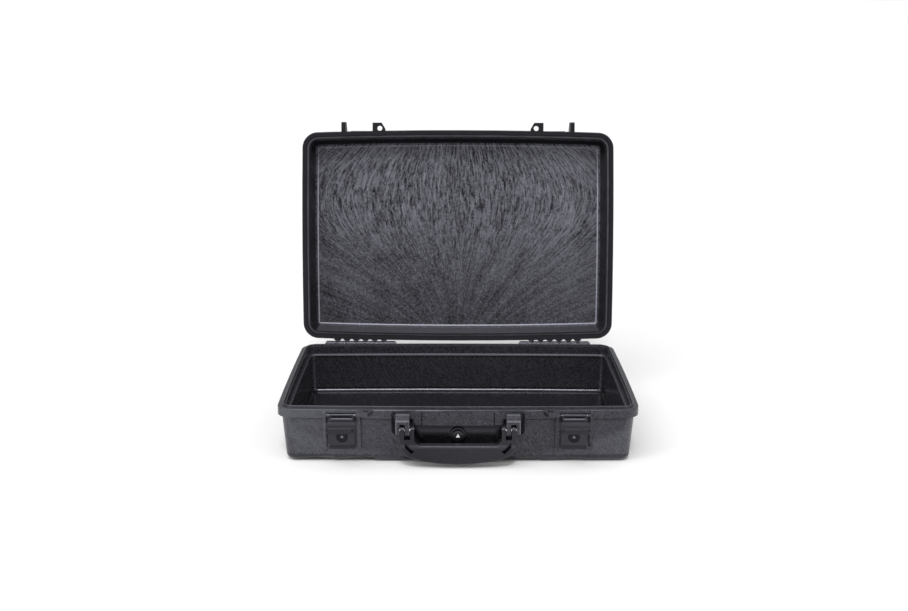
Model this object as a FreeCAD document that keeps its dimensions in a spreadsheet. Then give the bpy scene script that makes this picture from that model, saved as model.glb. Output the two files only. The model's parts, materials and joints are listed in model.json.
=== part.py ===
import FreeCAD
import Part
import Sketcher
import math
import os
import re

# Hard equipment case: a shallow moulded base and lid on two rear hinges, two key-locking draw
# latches, a folding carry handle and a pressure purge valve.
# Frame: X runs along the case, Y from the front (-) to the hinge side (+), Z up.
# The origin is the centre of the base's underside. All lengths are in millimetres.

SIZES = {
    # Plan outline of both flanges: four bowed sides joined by round corners.
    "half_width": 250.0,
    "half_depth": 168.5,
    "long_side_bow": 4.5,
    "short_side_bow": 1.6,
    "corner_radius": 24.0,
    # Base shell; foot_height is the gap under the walls.
    "foot_height": 1.6,
    "floor_top": 5.1,
    "rim_height": 79.0,
    "flange_bottom": 66.5,
    "flange_undercut": 4.5,
    "undercut_inset": 8.0,
    "wall_inset": 5.7,
    "wall_bottom_inset": 11.0,
    "bottom_fillet": 8.0,
    "cavity_inset": 10.6,
    "cavity_floor_inset": 14.4,
    "floor_fillet": 5.0,
    "seal_ridge_inset": 6.9,
    "seal_ridge_width": 2.0,
    "seal_ridge_height": 3.0,
    "seal_ridge_round": 0.7,
    "ledge_top": 65.7,
    "ledge_thickness": 1.8,
    "edge_round": 1.2,
    # Raised field under the base, which nests in the sunk field on top of a like lid.
    "field_half_x": 202.5,
    "field_half_y": 122.5,
    "field_clip": 16.0,
    "field_play": 1.5,
    # Lid shell, drawn closed.
    "parting_gap": 0.3,
    "lid_flange_height": 7.7,
    "lid_height": 40.0,
    "lid_overhang": 1.2,
    "lid_wall_inset": 9.4,
    "lid_top_inset": 17.2,
    "lid_cavity_inset": 10.8,
    "lid_cavity_top_inset": 20.6,
    "lid_skin": 3.2,
    "panel_sink": 1.5,
    "lid_top_fillet": 9.0,
    "lid_cavity_fillet": 3.0,
    "lid_open_angle": 100.0,
    # Gasket groove in the lid's flange.
    # Pieces on the lid's flange start flange_root in from its edge, clear of the groove.
    "flange_root": 5.7,
    "groove_outer_inset": 5.8,
    "groove_inner_inset": 9.6,
    "groove_depth": 5.6,
    "gasket_recess": 3.0,
    "gasket_round": 1.6,
    # Hinges.
    "hinge_spacing": 157.0,
    "hinge_axis_y": 174.6,
    "hinge_axis_z": 77.7,
    "hinge_barrel_radius": 4.5,
    "hinge_pin_radius": 2.0,
    "hinge_length": 117.0,
    "finger_pitch": 15.0,
    "finger_width": 7.0,
    "finger_flare": 2.5,
    "knuckle_width": 7.2,
    "running_clearance": 0.06,
    # Draw latches; latch_face is the flange's front face at the latch.
    "latch_spacing": 159.0,
    "latch_face": 166.7,
    "lever_width": 35.4,
    "lever_tube_width": 33.4,
    "claw_width": 40.4,
    "bay_width": 42.6,
    "rib_width": 4.5,
    "rib_boss_reach": 3.3,
    "lever_pivot_out": -0.5,
    "lever_pivot_z": 71.0,
    "lever_pivot_radius": 1.4,
    "lever_tube_radius": 2.6,
    "claw_pivot_out": 0.7,
    "claw_pivot_z": 65.4,
    "claw_pivot_radius": 1.3,
    "claw_knuckle_radius": 2.8,
    "claw_knuckle_width": 27.0,
    "claw_side_play": 0.4,
    "claw_length": 25.0,
    "claw_rest_angle": 110.0,
    # Key lock in the latch lever.
    "lock_height": 39.0,
    "lock_ring_radius": 7.8,
    "lock_barrel_radius": 6.0,
    "lock_core_radius": 4.3,
    # Padlock ears.
    "ear_inner": 116.5,
    "ear_outer": 137.2,
    "ear_hole_x": 125.5,
    "ear_hole_y": 172.4,
    "ear_hole_radius": 4.0,
    "ear_reach": 181.4,
    "ear_thickness": 5.0,
    # Carry handle and its brackets.
    "handle_pivot_out": 9.5,
    "handle_pivot_z": 53.5,
    "handle_pin_radius": 2.0,
    "handle_thickness": 14.0,
    "handle_half_width": 78.2,
    "handle_grip_top": 33.5,
    "handle_grip_bottom": 6.0,
    "prong_width": 5.2,
    "bracket_inner": 66.0,
    "bracket_front_outer": 84.5,
    "bracket_root_outer": 91.0,
    "bracket_reach": 14.5,
    "tongue_width": 6.0,
    "tongue_drop": 4.1,
    # Recess behind the handle, and the purge valve in it.
    "recess_half_width": 60.0,
    "recess_top": 57.5,
    "recess_bottom": 15.0,
    "recess_back": 154.5,
    "valve_height": 39.0,
    "valve_flange_radius": 11.7,
    "valve_stem_radius": 6.0,
}

MIRROR_SIDES = (("left", -1), ("right", 1))
PLANES = {"top": "XY_Plane", "front": "XZ_Plane", "side": "YZ_Plane"}

doc = FreeCAD.newDocument("HardCase")
sheet = doc.addObject("Spreadsheet::Sheet", "Dimensions")
for row, (alias, size) in enumerate(SIZES.items(), start=1):
    sheet.set(f"A{row}", alias)
    sheet.set(f"B{row}", str(size))
    sheet.setAlias(f"B{row}", alias)
doc.recompute()


# ---------------------------------------------------------------- expressions and sketches

ALIAS_WORDS = re.compile(r"\b(" + "|".join(SIZES) + r")\b")


def bound(expression):
    """The expression with every size name pointing at its spreadsheet cell."""
    return ALIAS_WORDS.sub(r"Dimensions.\1", str(expression))


def value_of(expression):
    """The number that an expression of size names gives."""
    result = sheet.evalExpression(bound(expression))
    return float(getattr(result, "Value", result))


def bind(target, path, expression):
    """Drive one property from the sheet."""
    target.setExpression(path, bound(expression))


def new_body(name, label=None):
    body = doc.addObject("PartDesign::Body", name)
    body.Label = label or name
    body.AllowCompound = True
    return body


def new_sketch(body, plane, offset="0"):
    """A sketch on one of the body's own origin planes, moved along that plane's normal."""
    sketch = body.newObject("Sketcher::SketchObject", f"{body.Name}_sketch")
    role = PLANES[plane]
    support = next(item for item in body.Origin.OriginFeatures if item.Role == role)
    sketch.AttachmentSupport = (support, "")
    sketch.MapMode = "FlatFace"
    bind(sketch, "AttachmentOffset.Base.z", offset)
    return sketch


def add_driven(sketch, kind, args, expression):
    """Add a dimension constraint and drive it from the sheet."""
    index = sketch.addConstraint(Sketcher.Constraint(kind, *args, value_of(expression)))
    bind(sketch, f"Constraints[{index}]", expression)


def pin_point(sketch, geo, point, x, y):
    """Fix a sketch point at two expressions."""
    for kind, axis, expression in (("DistanceX", -2, x), ("DistanceY", -1, y)):
        if value_of(expression) == 0:
            sketch.addConstraint(Sketcher.Constraint("PointOnObject", geo, point, axis))
        else:
            add_driven(sketch, kind, (-1, 1, geo, point), expression)


def polygon(body, plane, points, offset="0"):
    """A closed polygon sketch whose corners are pairs of expressions."""
    sketch = new_sketch(body, plane, offset)
    spots = [FreeCAD.Vector(value_of(x), value_of(y), 0) for x, y in points]
    count = len(spots)
    lines = [Part.LineSegment(spots[i], spots[(i + 1) % count]) for i in range(count)]
    sketch.addGeometry(lines, False)
    for i in range(count):
        sketch.addConstraint(Sketcher.Constraint("Coincident", i, 2, (i + 1) % count, 1))
    for i, (x, y) in enumerate(points):
        pin_point(sketch, i, 1, x, y)
    return sketch


def circles(body, plane, centre, radii, offset="0"):
    """Concentric circles; two of them make a ring."""
    sketch = new_sketch(body, plane, offset)
    spot = FreeCAD.Vector(value_of(centre[0]), value_of(centre[1]), 0)
    up = FreeCAD.Vector(0, 0, 1)
    for radius in radii:
        geo = sketch.addGeometry(Part.Circle(spot, up, value_of(radius)), False)
        add_driven(sketch, "Radius", (geo,), radius)
        pin_point(sketch, geo, 3, *centre)
    return sketch


LONG_RADIUS = "(half_width ^ 2 / (2 * long_side_bow) + long_side_bow / 2)"
SHORT_RADIUS = "(half_depth ^ 2 / (2 * short_side_bow) + short_side_bow / 2)"


def corner_centre():
    """Centre of the corner arc that touches both bowed sides."""
    radius = SIZES["corner_radius"]
    long_radius, short_radius = value_of(LONG_RADIUS), value_of(SHORT_RADIUS)
    long_y = SIZES["half_depth"] - long_radius
    short_x = SIZES["half_width"] - short_radius
    x, y = SIZES["half_width"] - radius, SIZES["half_depth"] - radius
    for _ in range(40):
        y = long_y + math.sqrt((long_radius - radius) ** 2 - x ** 2)
        x = short_x + math.sqrt((short_radius - radius) ** 2 - y ** 2)
    return x, y, long_y, short_x


def add_outline(sketch, inset):
    """The crowned plan outline, parallel to the flange's edge and this far inside it."""
    x, y, long_y, short_x = corner_centre()
    gap = value_of(inset)
    long_radius = value_of(LONG_RADIUS) - gap
    short_radius = value_of(SHORT_RADIUS) - gap
    radius = SIZES["corner_radius"] - gap
    to_long = math.atan2(y - long_y, x)
    to_short = math.atan2(y, x - short_x)
    turn = math.pi
    arcs = (
        (short_x, 0, short_radius, -to_short, to_short),
        (x, y, radius, to_short, to_long),
        (0, long_y, long_radius, to_long, turn - to_long),
        (-x, y, radius, turn - to_long, turn - to_short),
        (-short_x, 0, short_radius, turn - to_short, turn + to_short),
        (-x, -y, radius, turn + to_short, turn + to_long),
        (0, -long_y, long_radius, turn + to_long, 2 * turn - to_long),
        (x, -y, radius, 2 * turn - to_long, 2 * turn - to_short),
    )
    up = FreeCAD.Vector(0, 0, 1)
    first = sketch.GeometryCount
    for cx, cy, arc_radius, start, end in arcs:
        circle = Part.Circle(FreeCAD.Vector(cx, cy, 0), up, arc_radius)
        sketch.addGeometry(Part.ArcOfCircle(circle, start, end), False)
    for i in range(8):
        ends = (first + i, 2, first + (i + 1) % 8, 1)
        sketch.addConstraint(Sketcher.Constraint("Tangent", *ends))
    for a, b in ((0, 4), (2, 6), (1, 3), (1, 5), (1, 7)):
        sketch.addConstraint(Sketcher.Constraint("Equal", first + a, first + b))
    for geo, axis in ((0, -1), (4, -1), (2, -2), (6, -2)):
        sketch.addConstraint(Sketcher.Constraint("PointOnObject", first + geo, 3, axis))
    add_driven(sketch, "Radius", (first,), f"{SHORT_RADIUS} - ({inset})")
    add_driven(sketch, "Radius", (first + 2,), f"{LONG_RADIUS} - ({inset})")
    add_driven(sketch, "Radius", (first + 1,), f"corner_radius - ({inset})")
    for geo, sign in ((0, ""), (4, "-")):
        place = f"{sign}(half_width - {SHORT_RADIUS})"
        add_driven(sketch, "DistanceX", (-1, 1, first + geo, 3), place)
    for geo, sign in ((2, ""), (6, "-")):
        place = f"{sign}(half_depth - {LONG_RADIUS})"
        add_driven(sketch, "DistanceY", (-1, 1, first + geo, 3), place)


def outline(body, height, *insets):
    """Crowned outlines at one height; two insets make a ring."""
    sketch = new_sketch(body, "top", height)
    for inset in insets:
        add_outline(sketch, inset)
    return sketch


# ---------------------------------------------------------------- features

def extrude(body, sketch, length, cut=False, both_ways=False, reverse=False, spread=None):
    """Pad or pocket a sketch, and check that it changed the solid.

    spread is how far the outline grows on each side over the length; its sides are then drafted.
    """
    before = body.Shape.Volume if not body.Shape.isNull() else 0.0
    kind = "Pocket" if cut else "Pad"
    feature = body.newObject(f"PartDesign::{kind}", f"{body.Name}_{kind.lower()}")
    feature.Profile = sketch
    bind(feature, "Length", length)
    feature.SideType = "Symmetric" if both_ways else "One side"
    feature.Reversed = reverse
    feature.Refine = False
    if spread:
        bind(feature, "TaperAngle", f"atan(({spread}) / ({length}))")
    doc.recompute()
    change = body.Shape.Volume - before
    if (change > -1e-3) if cut else (change < 1e-3):
        raise RuntimeError(f"{body.Label}: {feature.Name} changed the volume by {change:.3f}")
    return feature


def side_block(body, points, centre_x, width, cut=False):
    """Extrude a front-to-back profile (y, z) both ways along X about centre_x."""
    sketch = polygon(body, "side", points, centre_x)
    return extrude(body, sketch, width, cut=cut, both_ways=True)


def side_round(body, centre, radius, centre_x, width, cut=False):
    """A cylinder along X, or the hole for one."""
    sketch = circles(body, "side", centre, [radius], centre_x)
    return extrude(body, sketch, width, cut=cut, both_ways=True)


def box_points(y_near, y_far, z_low, z_high):
    return [(y_near, z_low), (y_far, z_low), (y_far, z_high), (y_near, z_high)]


def clipped_rectangle(half_x, half_y, clip):
    """Corners of a centred rectangle with its four corners cut off at 45 degrees."""
    quarter = [(half_x, f"{half_y} - {clip}"), (f"{half_x} - {clip}", half_y)]
    corners = []
    for sx, sy in ((1, 1), (-1, 1), (-1, -1), (1, -1)):
        pair = quarter if sx * sy > 0 else quarter[::-1]
        corners += [(f"{sx} * ({x})", f"{sy} * ({y})") for x, y in pair]
    return corners


def edges_where(body, test):
    """Names of the body's edges that pass a test on their bounding box."""
    edges = body.Shape.Edges
    return [f"Edge{i}" for i, edge in enumerate(edges, start=1) if test(edge.BoundBox)]


def near(a, b, slack=0.05):
    return abs(a - b) < slack


def dress(body, kind, size, test):
    """Fillet or chamfer the edges that pass a test."""
    names = edges_where(body, test)
    if not names:
        raise RuntimeError(f"{body.Label}: no edges for {kind}")
    feature = body.newObject(f"PartDesign::{kind}", f"{body.Name}_{kind.lower()}")
    feature.Base = (body.Tip if body.Tip != feature else feature.BaseFeature, names)
    bind(feature, "Radius" if kind == "Fillet" else "Size", size)
    doc.recompute()
    if feature.Shape.isNull() or not feature.Shape.isValid():
        raise RuntimeError(f"{body.Label}: {kind} failed")
    return feature


def flat_at(z, slack=0.05):
    """A test for edges that lie level at one height."""
    return lambda box: near(box.ZMin, z, slack) and near(box.ZMax, z, slack)


LID_FACE = "(rim_height + parting_gap)"
HINGE_BORE = "hinge_length - 3"
LOOSE_HINGE_BORE = "hinge_pin_radius + running_clearance"
PIVOT_PIN_LENGTH = "bay_width + 2 * rib_width - 3"
LEVER_PIVOT = ("-latch_face - lever_pivot_out", "lever_pivot_z")


def latch_y(out):
    """Y of a point this far in front of the flange's face at a latch."""
    return f"-latch_face - ({out})"


# ---------------------------------------------------------------- base shell

def base_tray(body):
    """The drafted tray with its flange, seal ridge and inner ledge."""
    bottom = outline(body, "foot_height", "wall_bottom_inset")
    extrude(body, bottom, "flange_bottom - foot_height",
            spread="wall_bottom_inset - wall_inset")
    dress(body, "Fillet", "bottom_fillet", flat_at(SIZES["foot_height"]))
    under = outline(body, "flange_bottom - flange_undercut", "undercut_inset")
    extrude(body, under, "flange_undercut", spread="undercut_inset")
    extrude(body, outline(body, "flange_bottom", "0"), "rim_height - flange_bottom")
    dress(body, "Fillet", "edge_round", flat_at(SIZES["rim_height"]))
    ridge = outline(body, "rim_height", "seal_ridge_inset", "seal_ridge_inset + seal_ridge_width")
    extrude(body, ridge, "seal_ridge_height")
    dress(body, "Fillet", "seal_ridge_round", flat_at(value_of("rim_height + seal_ridge_height")))
    floor = outline(body, "floor_top", "cavity_floor_inset")
    extrude(body, floor, "rim_height + 1 - floor_top", cut=True, reverse=True,
            spread="cavity_floor_inset - cavity_inset")
    dress(body, "Fillet", "floor_fillet", flat_at(SIZES["floor_top"]))
    ledge = outline(body, "ledge_top - ledge_thickness", "cavity_inset - 1.2",
                    "cavity_floor_inset")
    extrude(body, ledge, "ledge_thickness")


def base_field():
    """The raised field that the case stands on."""
    body = new_body("base_field")
    corners = clipped_rectangle("field_half_x", "field_half_y", "field_clip")
    extrude(body, polygon(body, "top", corners), "foot_height + 1")
    return body


def recess_backing():
    """The wall inside the tray that closes the pocket behind the handle."""
    body = new_body("recess_backing")
    points = box_points("-recess_back - 4", "-recess_back + 3.4", "floor_top - 1",
                        "recess_top + 3.4")
    side_block(body, points, "0", "2 * (recess_half_width + 3.4)")
    return body


def recess_pocket():
    """The pocket behind the handle, with the hole for the purge valve."""
    body = new_body("recess_pocket")
    pocket = box_points("-half_depth - 5", "-recess_back", "recess_bottom", "recess_top")
    side_block(body, pocket, "0", "2 * recess_half_width")
    hole = circles(body, "front", ("0", "valve_height"), ["valve_stem_radius"],
                   "recess_back - 10")
    extrude(body, hole, "12")
    return body


def front_skirt():
    """The flange's deeper skirt between the handle brackets, with a plain raised panel."""
    body = new_body("front_skirt")
    skirt = box_points("-half_depth + 0.9", "-half_depth + 9", "recess_top", "flange_bottom + 1")
    side_block(body, skirt, "0", "2 * (recess_half_width + 2)")
    panel = box_points("-half_depth - 0.8", "-half_depth + 5", "recess_top", "76.5")
    side_block(body, panel, "0", "97")
    return body


def handle_bracket(name, side):
    """A wedge-topped block that holds one handle pin, slotted for the handle's prong."""
    body = new_body(f"handle_bracket_{name}")
    plan = [
        (f"{side} * bracket_inner", "-half_depth + 8"),
        (f"{side} * bracket_inner", "-half_depth - bracket_reach"),
        (f"{side} * bracket_front_outer", "-half_depth - bracket_reach"),
        (f"{side} * bracket_root_outer", "-half_depth - 1"),
        (f"{side} * bracket_root_outer", "-half_depth + 8"),
    ]
    low = "handle_pivot_z - 5.7"
    extrude(body, polygon(body, "top", plan, low), f"77 - ({low})")
    front = "-half_depth - bracket_reach - 1"
    over = [
        ("-half_depth - 6", "78"), (front, "78"), (front, "67.6"),
        ("-half_depth - bracket_reach", "67.6"), ("-half_depth - 6", "75"),
    ]
    middle = f"{side} * (bracket_inner + bracket_root_outer) / 2"
    side_block(body, over, middle, "40", cut=True)
    back = box_points("-half_depth - 6", "-half_depth - 1", "75", "78")
    side_block(body, back, middle, "40", cut=True)
    under = [
        (front, "handle_pivot_z - 6"), ("-half_depth + 9", "handle_pivot_z - 6"),
        ("-half_depth + 9", "handle_pivot_z - 4"), ("-half_depth + 2", "handle_pivot_z - 4"),
        ("-half_depth - 6", "handle_pivot_z - 5.7"),
        ("-half_depth - bracket_reach + 3", "handle_pivot_z - 5.7"),
        (front, "handle_pivot_z - 1.5"),
    ]
    side_block(body, under, middle, "40", cut=True)
    slot = box_points(front, "-half_depth - handle_pivot_out + 7.8",
                      "handle_pivot_z - 7", "handle_pivot_z + 9.6")
    side_block(body, slot, f"{side} * 75.6", "prong_width + 2", cut=True)
    tongue_middle = f"{side} * (bracket_inner + tongue_width / 2)"
    tongue = box_points("-half_depth - bracket_reach", "-half_depth - bracket_reach + 7",
                        "handle_pivot_z - tongue_drop", "handle_pivot_z")
    side_block(body, tongue, tongue_middle, "tongue_width")
    side_round(body, ("-half_depth - bracket_reach + 3.5", "handle_pivot_z - tongue_drop"), "3.5",
               tongue_middle, "tongue_width")
    pivot = ("-half_depth - handle_pivot_out", "handle_pivot_z")
    side_round(body, pivot, "handle_pin_radius", f"{side} * 75", "19", cut=True)
    return body


def latch_bay_cut(name, side):
    """Everything cut away for one latch: the notch under the rim and the lock's keyway."""
    body = new_body(f"latch_bay_cut_{name}")
    middle = f"{side} * latch_spacing"
    notch = box_points(latch_y("12"), latch_y("-6"), "56", "74.4")
    side_block(body, notch, middle, "bay_width")
    keyway = box_points(latch_y("8"), latch_y("-17"), "25.6", "50")
    side_block(body, keyway, middle, "15")
    undercut = box_points(latch_y("-12"), latch_y("-17"), "27", "50")
    side_block(body, undercut, middle, "24")
    side_round(body, LEVER_PIVOT, "lever_pivot_radius", middle, PIVOT_PIN_LENGTH)
    return body


def latch_boss(name, side):
    """The block inside the tray that the keyway is sunk into."""
    body = new_body(f"latch_boss_{name}")
    boss = box_points(latch_y("-11"), latch_y("-20.2"), "22.5", "53")
    side_block(body, boss, f"{side} * latch_spacing", "30")
    return body


def latch_ribs(name, side):
    """The two ribs that flank one latch and hold its pivot pin."""
    body = new_body(f"latch_ribs_{name}")
    middle = f"{side} * latch_spacing"
    rib = [
        (latch_y("-11.4"), "15"), (latch_y("-3.4"), "24"), (latch_y("0.4"), "60"),
        (latch_y("2.6"), "66.5"), (latch_y("2.6"), "74.6"), (latch_y("-1"), "77.5"),
        (latch_y("-10"), "77.5"),
    ]
    for edge in (-1, 1):
        side_block(body, rib, f"{middle} + {edge} * (bay_width + rib_width) / 2", "rib_width")
        boss_middle = f"{middle} + {edge} * (bay_width - rib_boss_reach) / 2"
        side_round(body, LEVER_PIVOT, "lever_tube_radius", boss_middle, "rib_boss_reach + 1")
    side_round(body, LEVER_PIVOT, "lever_pivot_radius", middle, PIVOT_PIN_LENGTH, cut=True)
    return body


def padlock_ear(name, side, low, high, gusset_points):
    """A forward ear with its hole, braced by a gusset."""
    body = new_body(name)
    plan = [
        (f"{side} * ear_inner", "-half_depth + flange_root"),
        (f"{side} * ear_inner", "-half_depth - 3"),
        (f"{side} * (ear_inner + 6)", "-ear_reach"),
        (f"{side} * ear_outer", "-ear_reach"),
        (f"{side} * ear_outer", "-half_depth + flange_root"),
    ]
    extrude(body, polygon(body, "top", plan, low), f"({high}) - ({low})")
    side_block(body, gusset_points, f"{side} * (ear_outer - 2)", "4")
    hole = circles(body, "top", (f"{side} * ear_hole_x", "-ear_hole_y"), ["ear_hole_radius"],
                   f"({low}) - 1")
    extrude(body, hole, f"({high}) - ({low}) + 2", cut=True, reverse=True)
    return body


def hinge_run(name, profile, places, bore):
    """Knuckles in line on the hinge axis, each on its own web, bored for the pin."""
    body = new_body(name)
    axis = ("hinge_axis_y", "hinge_axis_z")
    for place, width in places:
        side_block(body, profile, place, width)
        side_round(body, axis, "hinge_barrel_radius", place, width)
    centre = sum(value_of(place) for place, _ in places) / len(places)
    middle = "hinge_spacing" if centre > 0 else "-hinge_spacing"
    side_round(body, axis, bore, middle, HINGE_BORE, cut=True)
    return body


def round_hinge_end(body, middle, edge):
    """Take the top corner off one outer end of the base's knuckles."""
    end = f"{middle} + {edge} * hinge_length / 2"
    corner = [
        (f"{end} + {edge}", "84"), (f"{end} + {edge}", "76"), (end, "76"),
        (f"{end} - {edge} * 1.2", "79.4"), (f"{end} - {edge} * 4.2", "82.3"),
        (f"{end} - {edge} * 4.2", "84"),
    ]
    sketch = polygon(body, "front", corner, "-hinge_axis_y")
    extrude(body, sketch, "40", cut=True, both_ways=True)


def base_hinge(name, side):
    """Seven knuckles in line on a leaf under the rear flange."""
    middle = f"{side} * hinge_spacing"
    web = [
        ("half_depth - 6", "62"), ("half_depth + 2", "62"), ("hinge_axis_y + 4.4", "76.5"),
        ("hinge_axis_y", "hinge_axis_z"), ("half_depth - 1", "77.4"), ("half_depth - 6", "77.4"),
    ]
    inner = "(5 * finger_pitch + finger_width) / 2 + 0.4"
    knuckles = [(f"{middle} + {step} * finger_pitch", "knuckle_width") for step in range(-2, 3)]
    for edge in (-1, 1):
        place = f"{middle} + {edge} * (hinge_length / 2 + ({inner})) / 2"
        knuckles.append((place, f"hinge_length / 2 - ({inner})"))
    body = hinge_run(f"base_hinge_{name}", web, knuckles, "hinge_pin_radius")
    leaf = [
        ("half_depth - 9", "52"), ("half_depth - 4", "52"), ("half_depth + 2", "60"),
        ("half_depth + 2", "72"), ("half_depth - 9", "74"),
    ]
    side_block(body, leaf, middle, "hinge_length")
    for edge in (-1, 1):
        round_hinge_end(body, middle, edge)
    return body


def fuse(name, shapes):
    """One solid from several bodies."""
    joined = doc.addObject("Part::MultiFuse", name)
    joined.Shapes = shapes
    joined.Refine = False
    doc.recompute()
    return joined


def make_base_shell():
    tray = new_body("base_tray")
    base_tray(tray)
    solids = [tray, base_field(), recess_backing(), front_skirt()]
    cutters = [recess_pocket()]
    fittings = []
    gusset = [
        (latch_y("-8"), "52"), (latch_y("-4"), "56"), ("-ear_reach + 2", "74.5"),
        (latch_y("-8"), "74.5"),
    ]
    for name, side in MIRROR_SIDES:
        solids += [latch_boss(name, side), base_hinge(name, side)]
        solids.append(padlock_ear(f"base_ear_{name}", side, "73.7", "rim_height - 0.3", gusset))
        cutters.append(latch_bay_cut(name, side))
        fittings += [handle_bracket(name, side), latch_ribs(name, side)]
    blank = doc.addObject("Part::Cut", "base_blank")
    blank.Base = fuse("base_solids", solids)
    blank.Tool = fuse("base_cutters", cutters)
    blank.Refine = False
    doc.recompute()
    return fuse("base_shell", [blank] + fittings)


# ---------------------------------------------------------------- lid

def about_axis(y, z, angle):
    """The placement that turns a piece by this many degrees about an X axis through (y, z)."""
    centre = FreeCAD.Vector(0, value_of(y), value_of(z))
    turn = FreeCAD.Rotation(FreeCAD.Vector(1, 0, 0), value_of(angle))
    return FreeCAD.Placement(centre - turn.multVec(centre), turn)


def open_lid(piece):
    """Stand a piece of the closed lid up at the open angle."""
    piece.Placement = about_axis("hinge_axis_y", "hinge_axis_z", "-lid_open_angle")
    return piece


def lid_tray():
    """The lid's shell with its flange and gasket groove."""
    body = new_body("lid_tray")
    face = LID_FACE
    flange_top = f"{face} + lid_flange_height"
    extrude(body, outline(body, face, "-lid_overhang"), "lid_flange_height")
    heights = (value_of(face), value_of(flange_top))
    for height in heights:
        dress(body, "Fillet", "edge_round", flat_at(height))
    rise = "rim_height + lid_height - (" + flange_top + ")"
    extrude(body, outline(body, flange_top, "lid_wall_inset"), rise,
            spread="lid_wall_inset - lid_top_inset")
    dress(body, "Fillet", "lid_top_fillet", flat_at(value_of("rim_height + lid_height")))
    corners = clipped_rectangle("field_half_x + field_play", "field_half_y + field_play",
                                "field_clip")
    field = polygon(body, "top", corners, "rim_height + lid_height - panel_sink")
    extrude(body, field, "2 * panel_sink", cut=True, reverse=True)
    extrude(body, outline(body, face, "groove_outer_inset", "groove_inner_inset"),
            "groove_depth", cut=True, reverse=True)
    cavity_depth = "lid_height - parting_gap - lid_skin - panel_sink"
    extrude(body, outline(body, face, "lid_cavity_inset"), cavity_depth, cut=True, reverse=True,
            spread="lid_cavity_inset - lid_cavity_top_inset")
    ceiling = value_of(f"{face} + {cavity_depth}")
    dress(body, "Fillet", "lid_cavity_fillet", flat_at(ceiling))
    return body


def lid_post(name, side):
    """The rib outside one latch that shields its claw."""
    body = new_body(f"lid_post_{name}")
    post = [
        ("-half_depth + flange_root", LID_FACE), ("-half_depth - 12", LID_FACE),
        ("-half_depth - 14", f"{LID_FACE} + 2"), ("-half_depth - 14", "92"),
        ("-half_depth - 2", "105"), ("-half_depth + 18", "110"),
        ("-half_depth + flange_root", "86"),
    ]
    side_block(body, post, f"{side} * 183.5", "7.6")
    return body


def lid_catch(name, side):
    """The proud ledge that one claw hooks over."""
    body = new_body(f"lid_catch_{name}")
    ledge = box_points(latch_y("-5"), latch_y("1.6"), "82", f"{LID_FACE} + lid_flange_height")
    side_block(body, ledge, f"{side} * 154.5", "35")
    return body


def lid_hinge(name, side):
    """Six fingers in line between the base's knuckles."""
    finger = [
        ("half_depth - flange_root", f"{LID_FACE} + 0.2"),
        ("half_depth + 1.6", f"{LID_FACE} + 0.2"),
        ("hinge_axis_y", "hinge_axis_z"), ("hinge_axis_y + 4.2", "hinge_axis_z + 1.6"),
        ("half_depth + 3.5", "86.2"), ("half_depth - flange_root", "86.2"),
    ]
    places = [
        (f"{side} * hinge_spacing + {step - 2.5} * finger_pitch", "finger_width")
        for step in range(6)
    ]
    body = hinge_run(f"lid_hinge_{name}", finger, places, LOOSE_HINGE_BORE)
    root, tip = "finger_width / 2 + finger_flare", "finger_width / 2"
    for place, _ in places:
        flare = [
            (f"{place} - ({root})", "half_depth - 2"), (f"{place} + {root}", "half_depth - 2"),
            (f"{place} + {root}", "half_depth - 0.6"), (f"{place} + {tip}", "half_depth + 1.7"),
            (f"{place} - ({tip})", "half_depth + 1.7"), (f"{place} - ({root})", "half_depth - 0.6"),
        ]
        sketch = polygon(body, "top", flare, f"{LID_FACE} + 0.2")
        extrude(body, sketch, "lid_flange_height - 1")
    return body


def make_lid_shell():
    shapes = [lid_tray()]
    gusset = [
        ("-half_depth + flange_root", "84"), ("-ear_reach + 2", "84"), ("-half_depth - 1", "99"),
        ("-half_depth + 17", "103"), ("-half_depth + 17", "86"), ("-half_depth + flange_root", "86"),
    ]
    for name, side in MIRROR_SIDES:
        ear = padlock_ear(f"lid_ear_{name}", side, LID_FACE, f"{LID_FACE} + ear_thickness", gusset)
        shapes += [lid_post(name, side), lid_catch(name, side), lid_hinge(name, side), ear]
    return open_lid(fuse("lid_shell", shapes))


def make_lid_gasket():
    """The soft bead in the lid's groove, rounded where it meets the base's ridge."""
    body = new_body("lid_gasket")
    low = f"{LID_FACE} + gasket_recess"
    ring = outline(body, low, "groove_outer_inset", "groove_inner_inset")
    extrude(body, ring, "groove_depth - gasket_recess")
    dress(body, "Fillet", "gasket_round", flat_at(value_of(low)))
    return open_lid(body)


# ---------------------------------------------------------------- pins

def x_pin(name, centre, radius, middle, length):
    """A plain steel pin along X."""
    body = new_body(name)
    side_round(body, centre, radius, middle, length)
    return body


def make_hinge_pin(name, side):
    axis = ("hinge_axis_y", "hinge_axis_z")
    return x_pin(f"hinge_pin_{name}", axis, "hinge_pin_radius", f"{side} * hinge_spacing",
                 HINGE_BORE)


def make_handle_pin(name, side):
    centre = ("-half_depth - handle_pivot_out", "handle_pivot_z")
    return x_pin(f"handle_pin_{name}", centre, "handle_pin_radius", f"{side} * 72", "24.6")


# ---------------------------------------------------------------- draw latches

CLAW_PIVOT = ("-latch_face - claw_pivot_out", "claw_pivot_z")
LOCK_OUT = {"ring_front": "-1.0", "ring_back": "-3.0", "barrel_back": "-10.5",
            "cam_front": "-12.6", "cam_back": "-14.8", "screw_back": "-16.2"}


def make_latch_pivot_pin(name, side):
    return x_pin(f"latch_pivot_pin_{name}", LEVER_PIVOT, "lever_pivot_radius",
                 f"{side} * latch_spacing", PIVOT_PIN_LENGTH)


def make_claw_pin(name, side):
    return x_pin(f"claw_pin_{name}", CLAW_PIVOT, "claw_pivot_radius",
                 f"{side} * latch_spacing", "lever_tube_width - 0.4")


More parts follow.
